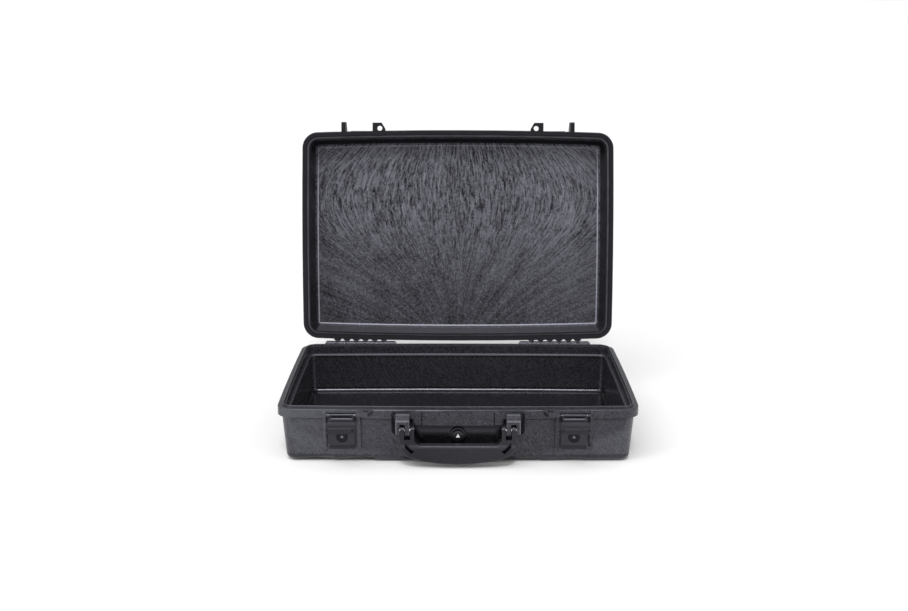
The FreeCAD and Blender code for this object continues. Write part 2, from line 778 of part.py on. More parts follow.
def make_latch_lever(name, side):
    """The flat lever that hangs in the bay: a plate, a pivot tube and two ears for the claw."""
    body = new_body(f"latch_lever_{name}")
    middle = f"{side} * latch_spacing"
    plate = [
        (latch_y("-5.3"), "62"), (latch_y("-0.8"), "62"), (latch_y("-3.1"), "27"),
        (latch_y("-1.6"), "22"), (latch_y("-5.5"), "20.5"), (latch_y("-8.0"), "22"),
    ]
    side_block(body, plate, middle, "lever_width")
    ear = [
        (latch_y("-5.3"), "60"), (latch_y("-0.9"), "60"), (latch_y("3.1"), "64"),
        (latch_y("3.3"), "66.5"), (latch_y("1.6"), "72"), (latch_y("-2.4"), "72.6"),
        (latch_y("-5.0"), "67"),
    ]
    ear_width = "((lever_tube_width - claw_knuckle_width) / 2 - claw_side_play)"
    for edge in (-1, 1):
        place = f"{middle} + {edge} * (lever_tube_width - {ear_width}) / 2"
        side_block(body, ear, place, ear_width)
    side_round(body, LEVER_PIVOT, "lever_tube_radius", middle, "lever_tube_width")
    side_round(body, CLAW_PIVOT, "claw_pivot_radius", middle, "lever_width + 2", cut=True)
    side_round(body, LEVER_PIVOT, "lever_pivot_radius + running_clearance", middle,
               "lever_width + 2", cut=True)
    centre = (middle, "lock_height")
    hole = circles(body, "front", centre, ["lock_barrel_radius"], "latch_face - 12")
    extrude(body, hole, "14", cut=True, reverse=True)
    face = circles(body, "front", centre, ["lock_ring_radius + 0.1"],
                   f"latch_face + {LOCK_OUT['ring_back']}")
    extrude(body, face, "6", cut=True, reverse=True)
    return body


def claw_spot(out, along):
    """A point in the closed claw's own directions: out from its pivot, and along it."""
    return (f"-latch_face - claw_pivot_out - ({out})", f"claw_pivot_z + {along}")


def make_latch_claw(name, side):
    """The claw that reaches up over the lid's catch, drawn closed and then swung down."""
    body = new_body(f"latch_claw_{name}")
    middle = f"{side} * latch_spacing"
    side_round(body, CLAW_PIVOT, "claw_knuckle_radius", middle, "claw_knuckle_width")
    neck = [
        claw_spot("2.7", "-0.8"), claw_spot("5.4", "3.6"), claw_spot("5.4", "5.5"),
        claw_spot("1.9", "5.5"), claw_spot("1.7", "2.2"), claw_spot("0", "0"),
    ]
    side_block(body, neck, middle, "claw_knuckle_width")
    plate = [
        claw_spot("1.9", "4"), claw_spot("4.4", "4"), claw_spot("5.4", "5.2"),
        claw_spot("5.9", "14"), claw_spot("5.4", "claw_length"), claw_spot("1.9", "claw_length"),
    ]
    side_block(body, plate, middle, "claw_width")
    hook = [
        claw_spot("2.2", "claw_length"), claw_spot("-3.6", "claw_length"),
        claw_spot("-4.1", "claw_length - 0.6"), claw_spot("-4.1", "claw_length - 2.6"),
        claw_spot("1", "claw_length - 3"), claw_spot("2.2", "claw_length - 5"),
    ]
    side_block(body, hook, middle, "claw_width - 9")
    for along in ("8.5", "12.5", "16.5"):
        ridge = [
            claw_spot("4.5", f"{along} - 1.2"), claw_spot("6.6", f"{along} - 0.5"),
            claw_spot("6.6", f"{along} + 0.5"), claw_spot("4.5", f"{along} + 1.2"),
        ]
        side_block(body, ridge, middle, "claw_width - 8")
    tip = value_of("claw_pivot_z + claw_length")
    half = value_of("claw_width") / 2
    spot = side * value_of("latch_spacing")
    dress(body, "Fillet", "3.5", lambda box: near(box.ZMax, tip) and near(box.ZMin, tip)
          and near(box.XMin, box.XMax) and near(abs(box.XMin - spot), half))
    side_round(body, CLAW_PIVOT, "claw_pivot_radius + running_clearance", middle,
               "claw_knuckle_width + 2", cut=True)
    body.Placement = about_axis(*CLAW_PIVOT, "claw_rest_angle")
    return body


# ---------------------------------------------------------------- key lock

def lock_disc(body, side, radius, back, front, cut=False, inner=None):
    """A disc or hole on the lock's axis between two depths, measured out from the latch face."""
    radii = [radius] if inner is None else [radius, inner]
    sketch = circles(body, "front", (f"{side} * latch_spacing", "lock_height"), radii,
                     f"latch_face + ({back})")
    return extrude(body, sketch, f"({front}) - ({back})", cut=cut, reverse=cut)


def make_lock_housing(name, side):
    body = new_body(f"lock_housing_{name}")
    lock_disc(body, side, "lock_barrel_radius", LOCK_OUT["barrel_back"], LOCK_OUT["ring_back"])
    lock_disc(body, side, "lock_ring_radius", LOCK_OUT["ring_back"], LOCK_OUT["ring_front"])
    lock_disc(body, side, "lock_core_radius + running_clearance", LOCK_OUT["barrel_back"],
              LOCK_OUT["ring_front"], cut=True)
    dress(body, "Chamfer", "0.7", lambda box: near(box.ZMax - box.ZMin,
          2 * SIZES["lock_ring_radius"], 0.2)
          and near(box.YMin, value_of(f"-latch_face - {LOCK_OUT['ring_front']}")))
    return body


def make_lock_cylinder(name, side):
    """The turning core, with its key slot and the tapped hole for the cam's screw."""
    body = new_body(f"lock_cylinder_{name}")
    front = "-1.3"
    lock_disc(body, side, "lock_core_radius", LOCK_OUT["cam_front"], front)
    x = f"{side} * latch_spacing"
    slot = [(f"{x} - 0.6", "lock_height - 2.8"), (f"{x} + 0.6", "lock_height - 2.8"),
            (f"{x} + 0.6", "lock_height + 2.8"), (f"{x} - 0.6", "lock_height + 2.8")]
    sketch = polygon(body, "front", slot, f"latch_face + ({front}) - 3")
    extrude(body, sketch, "4", cut=True, reverse=True)
    lock_disc(body, side, "1.2", LOCK_OUT["cam_front"], "-8", cut=True)
    return body


def make_lock_cam(name, side):
    """The tongue behind the wall; across the slot it holds the lever shut."""
    body = new_body(f"lock_cam_{name}")
    x = f"{side} * latch_spacing"
    tongue = [(f"{x} - 4.5", "lock_height + 4.5"), (f"{x} - 4.5", "lock_height - 7"),
              (f"{x} - 2", "lock_height - 10.5"), (f"{x} + 2", "lock_height - 10.5"),
              (f"{x} + 4.5", "lock_height - 7"), (f"{x} + 4.5", "lock_height + 4.5")]
    sketch = polygon(body, "front", tongue, f"latch_face + ({LOCK_OUT['cam_back']})")
    extrude(body, sketch, f"({LOCK_OUT['cam_front']}) - ({LOCK_OUT['cam_back']})")
    lock_disc(body, side, "1.2", LOCK_OUT["cam_back"], LOCK_OUT["cam_front"], cut=True)
    return body


def make_cam_screw(name, side):
    body = new_body(f"cam_screw_{name}")
    lock_disc(body, side, "2.6", LOCK_OUT["screw_back"], LOCK_OUT["cam_back"])
    lock_disc(body, side, "1.2", LOCK_OUT["cam_back"], "-8")
    x = f"{side} * latch_spacing"
    slot = [(f"{x} - 2.7", "lock_height - 0.35"), (f"{x} + 2.7", "lock_height - 0.35"),
            (f"{x} + 2.7", "lock_height + 0.35"), (f"{x} - 2.7", "lock_height + 0.35")]
    sketch = polygon(body, "front", slot, f"latch_face + ({LOCK_OUT['screw_back']}) - 1")
    extrude(body, sketch, "1.6", cut=True, reverse=True)
    return body


# ---------------------------------------------------------------- carry handle

def handle_outline(body):
    """The handle's front view: two prongs a side, and a grip with a bowed lower edge."""
    sketch = new_sketch(body, "front", "half_depth + handle_pivot_out - handle_thickness / 2")
    fork = "handle_half_width - 2 * prong_width - 8.4"
    inner = [
        (fork, "handle_pivot_z"), (fork, "handle_grip_top + 7.5"),
        (f"{fork} - 7", "handle_grip_top"),
    ]
    outer = [("57", "handle_grip_bottom + 6.5"), ("70", "handle_grip_bottom + 11.5"),
             ("handle_half_width", "handle_grip_bottom + 22"),
             ("handle_half_width", "handle_pivot_z")]
    points = [(f"-({x})", z) for x, z in outer[::-1]] + outer
    points += inner + [(f"-({x})", z) for x, z in inner[::-1]]
    spots = [FreeCAD.Vector(value_of(x), value_of(z), 0) for x, z in points]
    count = len(spots)
    bow = len(outer) - 1
    for i in range(count):
        start, end = spots[i], spots[(i + 1) % count]
        if i == bow:
            crest = FreeCAD.Vector(0, value_of("handle_grip_bottom"), 0)
            sketch.addGeometry(Part.Arc(start, crest, end), False)
        else:
            sketch.addGeometry(Part.LineSegment(start, end), False)
    for i in range(count):
        sketch.addConstraint(Sketcher.Constraint("Coincident", i, 2, (i + 1) % count, 1))
        pin_point(sketch, i, 1, *points[i])
    add_driven(sketch, "Radius", (bow,), "57 ^ 2 / (2 * 6.5) + 6.5 / 2")
    return sketch


def make_handle():
    body = new_body("handle")
    extrude(body, handle_outline(body), "handle_thickness")
    limit = value_of("handle_grip_top") + 8
    faces = [value_of(f"-half_depth - handle_pivot_out + {sign} * handle_thickness / 2")
             for sign in (-1, 1)]

    def on_grip(box):
        flat = near(box.YMin, box.YMax) and any(near(box.YMin, face) for face in faces)
        return flat and box.ZMax < limit

    dress(body, "Fillet", "3.2", on_grip)
    pivot = ("-half_depth - handle_pivot_out", "handle_pivot_z")
    arm = "2 * prong_width + 8.4"
    for _, side in MIRROR_SIDES:
        middle = f"{side} * (handle_half_width - ({arm}) / 2)"
        side_round(body, pivot, "handle_thickness / 2", middle, arm)
        gap = box_points("-half_depth - handle_pivot_out - 8", "-half_depth - handle_pivot_out + 8",
                         "handle_grip_top + 8.5", "handle_pivot_z + 8")
        side_block(body, gap, middle, "8.4", cut=True)
        side_round(body, pivot, "handle_pin_radius + running_clearance", middle,
                   f"{arm} + 2", cut=True)
        vent = [(f"{side} * 72.3", "handle_grip_top + 4.5"), (f"{side} * 72.3", "31"),
                (f"{side} * 63", "21.7"), (f"{side} * 59.4", "25.3"),
                (f"{side} * 70", "handle_grip_top + 4.5")]
        sketch = polygon(body, "front", vent, "half_depth")
        extrude(body, sketch, "20", cut=True, reverse=True)
    return body


# ---------------------------------------------------------------- purge valve

def valve_disc(body, radius, back, front, cut=False, inner=None):
    """A disc or hole on the valve's axis between two depths in front of the recess wall."""
    radii = [radius] if inner is None else [radius, inner]
    sketch = circles(body, "front", ("0", "valve_height"), radii, f"recess_back + ({back})")
    return extrude(body, sketch, f"({front}) - ({back})", cut=cut, reverse=cut)


def make_valve_body():
    body = new_body("purge_valve_body")
    valve_disc(body, "valve_flange_radius", "0", "3")
    valve_disc(body, "valve_stem_radius", "-11", "0")
    dress(body, "Chamfer", "0.8", lambda box: near(box.ZMax - box.ZMin,
          2 * SIZES["valve_flange_radius"], 0.2) and near(box.YMin, value_of("-recess_back - 3")))
    valve_disc(body, "9.9", "0", "1.7", cut=True, inner="7.7")
    valve_disc(body, "3.06", "-8", "3", cut=True)
    valve_disc(body, "5.0", "-11", "-9", cut=True)
    return body


def make_valve_knob():
    """The finger knob on the valve's spindle, notched round its rim."""
    body = new_body("purge_knob")
    valve_disc(body, "8.6", "3.3", "6.2")
    valve_disc(body, "3.0", "-7", "3.3")
    dress(body, "Chamfer", "0.7", lambda box: near(box.ZMax - box.ZMin, 17.2, 0.2)
          and near(box.YMin, value_of("-recess_back - 6.2")))
    sketch = new_sketch(body, "front", "recess_back + 3.3")
    up = FreeCAD.Vector(0, 0, 1)
    count = 12
    for i in range(count):
        angle = f"{i} * 360 / {count}"
        spot = (f"9.2 * cos({angle})", f"valve_height + 9.2 * sin({angle})")
        centre = FreeCAD.Vector(value_of(spot[0]), value_of(spot[1]), 0)
        geo = sketch.addGeometry(Part.Circle(centre, up, 1.1), False)
        add_driven(sketch, "Radius", (geo,), "1.1")
        for kind, expression in (("DistanceX", spot[0]), ("DistanceY", spot[1])):
            add_driven(sketch, kind, (-1, 1, geo, 3), expression)
    extrude(body, sketch, "4", cut=True, reverse=True)
    return body


def make_valve_oring():
    ring = doc.addObject("Part::Torus", "purge_valve_oring")
    ring.Label = "purge_valve_oring"
    bind(ring, "Radius1", "8.8")
    bind(ring, "Radius2", "0.8")
    centre = FreeCAD.Vector(0, value_of("-recess_back - 0.8"), value_of("valve_height"))
    ring.Placement = FreeCAD.Placement(centre, FreeCAD.Rotation(FreeCAD.Vector(1, 0, 0), 90))
    return ring


def make_valve_nut():
    """The hexagonal nut inside the tray."""
    body = new_body("purge_valve_nut")
    corners = []
    for i in range(6):
        angle = f"(30 + {i} * 60)"
        corners.append((f"11.5 * cos({angle})", f"valve_height + 11.5 * sin({angle})"))
    sketch = polygon(body, "front", corners, "recess_back - 8.4")
    extrude(body, sketch, "5")
    valve_disc(body, "valve_stem_radius", "-8.4", "-3.4", cut=True)
    return body


def make_vent_membrane():
    """The thin disc in the stem's inner mouth that lets air through and keeps water out."""
    body = new_body("vent_membrane")
    valve_disc(body, "5.0", "-10.2", "-9")
    return body


def make_purge_mark():
    """A plain triangular pointer let into the knob's face."""
    body = new_body("purge_mark")
    points = [("-2.9", "valve_height - 1.6"), ("2.9", "valve_height - 1.6"),
              ("0", "valve_height + 3.2")]
    extrude(body, polygon(body, "front", points, "recess_back + 6.2"), "0.4")
    return body


# ---------------------------------------------------------------- build and write

def make_parts():
    parts = [make_base_shell(), make_lid_shell(), make_lid_gasket(), make_handle()]
    parts += [make_valve_body(), make_valve_knob(), make_valve_oring(), make_valve_nut()]
    parts += [make_vent_membrane(), make_purge_mark()]
    per_side = (make_hinge_pin, make_handle_pin, make_latch_pivot_pin, make_latch_lever,
                make_claw_pin, make_latch_claw, make_lock_housing, make_lock_cylinder,
                make_lock_cam, make_cam_screw)
    for name, side in MIRROR_SIDES:
        parts += [make(name, side) for make in per_side]
    return parts


def check(parts):
    """Stop if any object failed, or any part is not one valid solid."""
    doc.recompute()
    for item in doc.Objects:
        if "Invalid" in item.State or "Error" in item.State:
            raise RuntimeError(f"{item.Name} failed: {item.State}")
    for part in parts:
        shape = part.Shape
        if shape.isNull() or not shape.isValid() or len(shape.Solids) != 1:
            raise RuntimeError(f"{part.Label} is not one valid solid")


parts = make_parts()
check(parts)
os.makedirs("parts", exist_ok=True)
for part in parts:
    part.Shape.exportStep(f"parts/{part.Label}.step")
    box = part.Shape.optimalBoundingBox(False)
    spans = [f"{low:8.1f}..{high:7.1f}" for low, high in
             ((box.XMin, box.XMax), (box.YMin, box.YMax), (box.ZMin, box.ZMax))]
    print(f"{part.Label:24s}", *spans, f"{part.Shape.Volume / 1000:9.2f} cm3")
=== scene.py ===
"""Looks of the hard equipment case: materials, softened edges, floor, light and camera.

Lengths are in metres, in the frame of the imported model: X along the case, Y from the handle side
to the hinge side, Z up, with the origin under the middle of the base. Names that end in _MM, and
the edges and blurs of masks, are in millimetres.
"""

import json
import math

import bpy
from mathutils import Matrix, Vector


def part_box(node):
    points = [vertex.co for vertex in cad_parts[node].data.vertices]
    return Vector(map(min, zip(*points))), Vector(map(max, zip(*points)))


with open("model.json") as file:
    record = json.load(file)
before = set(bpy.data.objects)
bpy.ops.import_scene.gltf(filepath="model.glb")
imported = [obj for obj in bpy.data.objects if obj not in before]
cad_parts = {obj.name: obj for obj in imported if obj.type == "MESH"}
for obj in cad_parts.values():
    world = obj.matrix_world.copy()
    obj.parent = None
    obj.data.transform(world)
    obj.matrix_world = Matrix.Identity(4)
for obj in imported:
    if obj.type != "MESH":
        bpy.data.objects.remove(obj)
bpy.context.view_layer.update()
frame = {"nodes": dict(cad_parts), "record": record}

MM = 0.001
NODES = frame["nodes"]

# Places where the base's look changes
RIM_TOP_MM = 79.0
FRONT_WALL_Y_MM = -160.0
RECESS_HALF_WIDTH_MM = 60.0
RECESS_Y_MM = (-164.0, -150.0)
RECESS_Z_MM = (15.0, 57.4)
RECESS_SHADE_Z_MM = 50.0
TRAY_HALF_WIDTH_MM = 238.5
TRAY_HALF_DEPTH_MM = 157.0
TRAY_TOP_MM = 80.5
TRAY_FLOOR_MM = 10.0
LEDGE_Z_MM = (63.8, 66.1)
PANEL_LINE_X_MM = (48.9, 49.7)
PANEL_LINE_Z_MM = (57.8, 74.5)
BRACKET_FLANK_X_MM = (84.8, 91.5)
BRACKET_TOP_X_MM = (65.5, 84.5)
BRACKET_NOSE_X_MM = (65.5, 85.5)
BRACKET_INNER_EDGE_X_MM = (65.5, 66.4)
BRACKET_OUTER_EDGE_X_MM = (83.6, 85.0)
BRACKET_BOTTOM_MM = 47.0
BRACKET_CREST_Z_MM = (74.1, 75.5)
BRACKET_BROW_Z_MM = (66.6, 68.6)
BRACKET_ROOT_Y_MM = -170.5
BRACKET_NOSE_Y_MM = -182.0

# Places on the handle, the latches and the locks
# The grip band carries a painted highlight.
GRIP_HIGHLIGHT_Z_MM = (33.0, 34.2)
# The claw's band near its pin carries painted light, its lip painted shade.
CLAW_LIT_Z_MM = (61.0, 67.0)
CLAW_LIP_Y_MM = -185.0
LOCK_CENTRE_MM = (159.0, 39.0)

# Depths in the lid, measured from the middle of its gasket towards its outside
LID_FACE_MM = 2.0
LID_PANEL_MM = 24.0
# The panel's edge line carries a painted highlight.
LID_HIGHLIGHT_LINE_MM = (28.8, 30.2)
LID_OUTSIDE_MM = 12.0

LID_HINGE = next(joint for joint in frame["record"]["behaviour"]["joints"]
                 if joint["name"] == "lid_hinge")
OPEN_ANGLE = math.radians(-LID_HINGE["range_deg"][0])
LID_UP = Vector((0.0, -math.cos(OPEN_ANGLE), math.sin(OPEN_ANGLE)))
LID_BACK = Vector((0.0, math.sin(OPEN_ANGLE), math.cos(OPEN_ANGLE)))

# The span of a pattern's value that a shader input is spread over
FULL = (0.0, 1.1)
MIDDLE = (0.3, 0.7)


# ---------------------------------------------------------------- node helpers

class Graph:
    """A material's node tree, with short calls for the nodes used here."""

    def __init__(self, name):
        self.material = bpy.data.materials.new(name)
        self.material.use_nodes = True
        self.nodes = self.material.node_tree.nodes
        self.links = self.material.node_tree.links
        self.shader = self.nodes["Principled BSDF"]
        places = self.nodes.new("ShaderNodeTexCoord").outputs
        self.coords = places["Object"]
        self.facing = places["Normal"]

    def put(self, target, source):
        """Link a socket, or set it to a plain value."""
        if isinstance(source, bpy.types.NodeSocket):
            self.links.new(source, target)
        elif source is not None:
            target.default_value = source

    def math(self, operation, a, b=None):
        node = self.nodes.new("ShaderNodeMath")
        node.operation = operation
        self.put(node.inputs[0], a)
        if b is not None:
            self.put(node.inputs[1], b)
        return node.outputs[0]

    def scaled(self, vector, scale):
        """The vector times a fixed scale along each axis."""
        node = self.nodes.new("ShaderNodeVectorMath")
        node.operation = "MULTIPLY"
        self.put(node.inputs[0], vector)
        node.inputs[1].default_value = scale
        return node.outputs[0]

    def dot(self, vector, direction):
        """How far a vector reaches along a direction."""
        node = self.nodes.new("ShaderNodeVectorMath")
        node.operation = "DOT_PRODUCT"
        self.put(node.inputs[0], vector)
        self.put(node.inputs[1], direction)
        return node.outputs["Value"]

    def combine(self, x, y):
        """A flat vector made of two values."""
        node = self.nodes.new("ShaderNodeCombineXYZ")
        self.put(node.inputs["X"], x)
        self.put(node.inputs["Y"], y)
        return node.outputs[0]

    def noise(self, vector, scale, detail=2.0, roughness=0.5, distortion=0.0):
        node = self.nodes.new("ShaderNodeTexNoise")
        self.put(node.inputs["Vector"], vector)
        node.inputs["Scale"].default_value = scale
        node.inputs["Detail"].default_value = detail
        node.inputs["Roughness"].default_value = roughness
        node.inputs["Distortion"].default_value = distortion
        return node.outputs["Fac"]

    def cells(self, vector, scale):
        node = self.nodes.new("ShaderNodeTexVoronoi")
        self.put(node.inputs["Vector"], vector)
        node.inputs["Scale"].default_value = scale
        return node.outputs["Distance"]

    def ramp(self, value, low, high, to_low=0.0, to_high=1.0):
        """Map a value from one range to another, clamped."""
        node = self.nodes.new("ShaderNodeMapRange")
        self.put(node.inputs["Value"], value)
        for socket, number in zip(("From Min", "From Max", "To Min", "To Max"),
                                  (low, high, to_low, to_high)):
            self.put(node.inputs[socket], number)
        return node.outputs["Result"]

    def blend(self, factor, first, second):
        """Mix two colours."""
        node = self.nodes.new("ShaderNodeMix")
        node.data_type = "RGBA"
        self.put(node.inputs["Factor"], factor)
        self.put(node.inputs["A"], first)
        self.put(node.inputs["B"], second)
        return node.outputs["Result"]

    def bump(self, height, distance):
        """A surface normal shaken by a height this deep."""
        node = self.nodes.new("ShaderNodeBump")
        node.inputs["Strength"].default_value = 1.0
        node.inputs["Distance"].default_value = distance
        self.put(node.inputs["Height"], height)
        return node.outputs["Normal"]


def axis_part(graph, axis):
    """One coordinate of the surface point."""
    return graph.dot(graph.coords, [1.0 if i == axis else 0.0 for i in range(3)])


def sum_of(graph, *terms):
    """Add up (weight, value) pairs."""
    total = 0.0
    for weight, value in terms:
        total = graph.math("ADD", graph.math("MULTIPLY", value, weight), total)
    return total


def both(graph, *masks):
    """Where every mask is on."""
    product = 1.0
    for mask in masks:
        product = graph.math("MULTIPLY", mask, product)
    return product


def above(graph, value, edge, blur):
    """One past an edge, fading to zero over a blur before it."""
    return graph.ramp(value, (edge - blur) * MM, edge * MM)


def below(graph, value, edge, blur):
    """One short of an edge, fading to zero over a blur after it."""
    return graph.ramp(value, edge * MM, (edge + blur) * MM, 1.0, 0.0)


def inside(graph, value, bounds, blur):
    """One between two bounds, fading to zero over a blur outside them."""
    low, high = bounds
    return graph.math("MULTIPLY", above(graph, value, low, blur), below(graph, value, high, blur))


# ---------------------------------------------------------------- moulded plastic

COOL = (0.86, 0.86, 1.0, 1.0)


def grey(level):
    """A near-neutral colour, a little bluer than grey."""
    return (level, level, level * 1.18, 1.0)


def satin_grain(graph, grain, depth):
    """Fine spark-eroded grain with slow changes of gloss; returns normal and slow noise."""
    slow = graph.noise(graph.coords, 6.0, 3.0, 0.55)
    fine = graph.noise(graph.coords, grain, 2.0, 0.6)
    pits = graph.cells(graph.coords, grain * 0.7)
    height = graph.math("ADD", fine, graph.math("MULTIPLY", pits, 0.6))
    return graph.bump(height, depth), slow


def drive(graph, socket, value, edges, ends, *masks):
    """Set a shader input between two ends from a value, with weighted masks added."""
    level = graph.ramp(value, *edges, *ends)
    graph.put(graph.shader.inputs[socket], sum_of(graph, (1.0, level), *masks))


def colour(graph, value, edges, dark, light):
    """Set the base colour between two greys from a value."""
    shade = graph.blend(graph.ramp(value, *edges), grey(dark), grey(light))
    graph.put(graph.shader.inputs["Base Color"], shade)


def overlay(graph, mask, level):
    """Lay another grey over the base colour where a mask is on."""
    socket = graph.shader.inputs["Base Color"]
    below_it = socket.links[0].from_socket
    graph.put(socket, graph.blend(mask, below_it, grey(level)))


def skin(graph, normal):
    """Give the plastic its grain and its cool reflections."""
    graph.shader.inputs["Specular Tint"].default_value = COOL
    graph.put(graph.shader.inputs["Normal"], normal)


def moulding(name, dark, light, rough, grain, depth):
    """Plain moulded plastic, all but its reflectance; returns its graph and its pattern."""
    graph = Graph(name)
    normal, slow = satin_grain(graph, grain, depth)
    mottled = graph.noise(graph.coords, 320.0, 3.0, 0.65)
    pattern = sum_of(graph, (0.6, slow), (0.4, mottled))
    colour(graph, pattern, MIDDLE, dark, light)
    drive(graph, "Roughness", pattern, MIDDLE, rough)
    skin(graph, normal)
    return graph, pattern


def valve_moulded():
    """The valve's smooth dark plastic."""
    graph, pattern = moulding("valve_moulded", 0.004, 0.008, (0.13, 0.19), 1500.0, 0.00001)
    drive(graph, "Specular IOR Level", pattern, MIDDLE, (0.4, 0.6))
    return graph.material


def handle_moulded():
    """The handle's plastic, with a painted highlight along the grip's upper edge."""
    graph, pattern = moulding("handle_moulded", 0.004, 0.009, (0.30, 0.38), 1900.0, 0.00004)
    drive(graph, "Specular IOR Level", pattern, MIDDLE, (0.30, 0.50))
    z = axis_part(graph, 2)
    low, high = GRIP_HIGHLIGHT_Z_MM
    # Painted highlight: a paler grey along the grip's upper edge.
    overlay(graph, both(graph, above(graph, z, low, 4.5), below(graph, z, high, 1.0)), 0.030)
    return graph.material


def latch_moulded():
    """The latches' smoother plastic, with painted light on the claw near its pin and painted shade
    at its lip.
    """
    graph, pattern = moulding("latch_moulded", 0.008, 0.022, (0.19, 0.29), 2200.0, 0.00002)
    y, z = axis_part(graph, 1), axis_part(graph, 2)
    lip = below(graph, y, CLAW_LIP_Y_MM, 1.5)
    # Painted light on the claw near its pin; painted shade at its lip, with its reflection damped
    # there too.
    overlay(graph, inside(graph, z, CLAW_LIT_Z_MM, 1.5), 0.040)
    overlay(graph, lip, 0.012)
    drive(graph, "Specular IOR Level", pattern, FULL, (0.4, 0.6), (-0.2, lip))
    return graph.material


def base_pattern(graph, x, y, z, slow):
    """Slanting flow marks broken up by fine mottling."""
    slant = sum_of(graph, (1.0, x), (0.75, z), (0.35, y))
    along = sum_of(graph, (0.3, x), (-1.0, z), (0.8, y))
    flow = graph.combine(graph.math("MULTIPLY", slant, 300.0), graph.math("MULTIPLY", along, 60.0))
    streaks = graph.noise(flow, 1.0, 4.0, 0.65, 0.6)
    blotches = graph.noise(graph.coords, 240.0, 4.0, 0.7)
    mottled = graph.noise(graph.coords, 480.0, 3.0, 0.7)
    value = sum_of(graph, (0.9, streaks), (0.8, blotches), (1.4, mottled), (0.4, slow))
    return graph.math("SUBTRACT", value, 1.36)


def base_masks(graph, x, y, z):
    """Where the base's left front, tray, ledge, rim, recess and panel outline are."""
    aside = graph.math("ABSOLUTE", x)
    front = below(graph, y, FRONT_WALL_Y_MM, 5.0)
    recess = both(graph, below(graph, aside, RECESS_HALF_WIDTH_MM, 0.5),
                  inside(graph, y, RECESS_Y_MM, 2.0), inside(graph, z, RECESS_Z_MM, 0.3))
    tray = both(graph, below(graph, aside, TRAY_HALF_WIDTH_MM, 1.0),
                below(graph, graph.math("ABSOLUTE", y), TRAY_HALF_DEPTH_MM, 1.0),
                below(graph, z, TRAY_TOP_MM, 1.0))
    low, high = PANEL_LINE_Z_MM
    return {
        # left: painted light, the front wall lighter towards the left.
        "left": both(graph, front, graph.ramp(x, -240.0 * MM, -60.0 * MM, 0.75, 0.0)),
        "tray": tray,
        # floor: painted shade on the tray floor.
        "floor": both(graph, tray, below(graph, z, TRAY_FLOOR_MM, 2.0)),
        # ledge: a painted highlight along the ledge's edge.
        "ledge": both(graph, tray, inside(graph, z, LEDGE_Z_MM, 0.4),
                      graph.ramp(aside, 229.0 * MM, 235.0 * MM, 1.0, 0.3)),
        # rim: a painted highlight along the top of the rim.
        "rim": above(graph, z, RIM_TOP_MM - 0.6, 0.6),
        # recess and shade: painted shade in the handle recess, darkest near its top.
        "recess": recess,
        "shade": both(graph, recess, above(graph, z, RECESS_SHADE_Z_MM, 6.0)),
        # outline: a painted shadow line beside the front panel.
        "outline": both(graph, front, inside(graph, aside, PANEL_LINE_X_MM, 0.3),
                        above(graph, z, low, 0.4), below(graph, z, high, 0.5)),
    }


def bracket_masks(graph, x, y, z):
    """Where the handle brackets' sloped flanks, top crest and nose edges are."""
    aside = graph.math("ABSOLUTE", x)
    proud = both(graph, below(graph, y, BRACKET_ROOT_Y_MM, 0.5),
                 above(graph, z, BRACKET_BOTTOM_MM, 0.5))
    nose = both(graph, proud, inside(graph, aside, BRACKET_NOSE_X_MM, 0.5),
                below(graph, y, BRACKET_NOSE_Y_MM, 0.5))
    sides = graph.math("MAXIMUM", inside(graph, aside, BRACKET_INNER_EDGE_X_MM, 0.3),
                       inside(graph, aside, BRACKET_OUTER_EDGE_X_MM, 0.3))
    return {
        # flank: painted shade on the brackets' sloped sides.
        "flank": both(graph, proud, inside(graph, aside, BRACKET_FLANK_X_MM, 0.4)),
        # crest and edges: painted highlights on the brackets' top and nose edges.
        "crest": both(graph, proud, inside(graph, aside, BRACKET_TOP_X_MM, 0.5),
                      inside(graph, z, BRACKET_CREST_Z_MM, 0.4)),
        "edges": graph.math("MAXIMUM", both(graph, nose, sides),
                            both(graph, nose, inside(graph, z, BRACKET_BROW_Z_MM, 0.4))),
    }


def base_moulded():
    """The base's plastic: flow marks outside and a smoother tray, with painted shade in the
    recess, on the bracket flanks, the tray floor and the panel outline, painted highlights on the
    rim, the ledge and the bracket edges and crest, and painted light on the left of the front.
    """
    graph = Graph("base_moulded")
    x, y, z = (axis_part(graph, axis) for axis in range(3))
    normal, slow = satin_grain(graph, 1300.0, 0.00003)
    part = base_masks(graph, x, y, z)
    bracket = bracket_masks(graph, x, y, z)
    # Painted light and shade go into this value: left, recess, shade, rim, outline, flank and
    # floor.
    value = sum_of(graph, (1.0, base_pattern(graph, x, y, z, slow)), (1.0, part["left"]),
                   (-0.4, part["recess"]), (-0.6, part["shade"]), (0.1, part["tray"]),
                   (0.3, part["rim"]), (-1.0, part["outline"]), (-0.45, bracket["flank"]),
                   (-0.45, part["floor"]))
    colour(graph, value, (0.0, 1.0), 0.003, 0.034)
    # Painted highlights laid over the colour: the ledge, the bracket edges and the crest.
    overlay(graph, part["ledge"], 0.13)
    overlay(graph, bracket["edges"], 0.09)
    overlay(graph, bracket["crest"], 0.07)
    drive(graph, "Roughness", value, (0.0, 1.0), (0.26, 0.42), (-0.09, part["tray"]))
    # Reflectance follows the same painted shade and highlights.
    drive(graph, "Specular IOR Level", value, FULL, (0.30, 0.90), (0.32, part["tray"]),
          (-0.35, part["shade"]), (-0.4, part["outline"]), (-0.15, bracket["flank"]),
          (0.5, part["ledge"]))
    skin(graph, normal)
    return graph.material


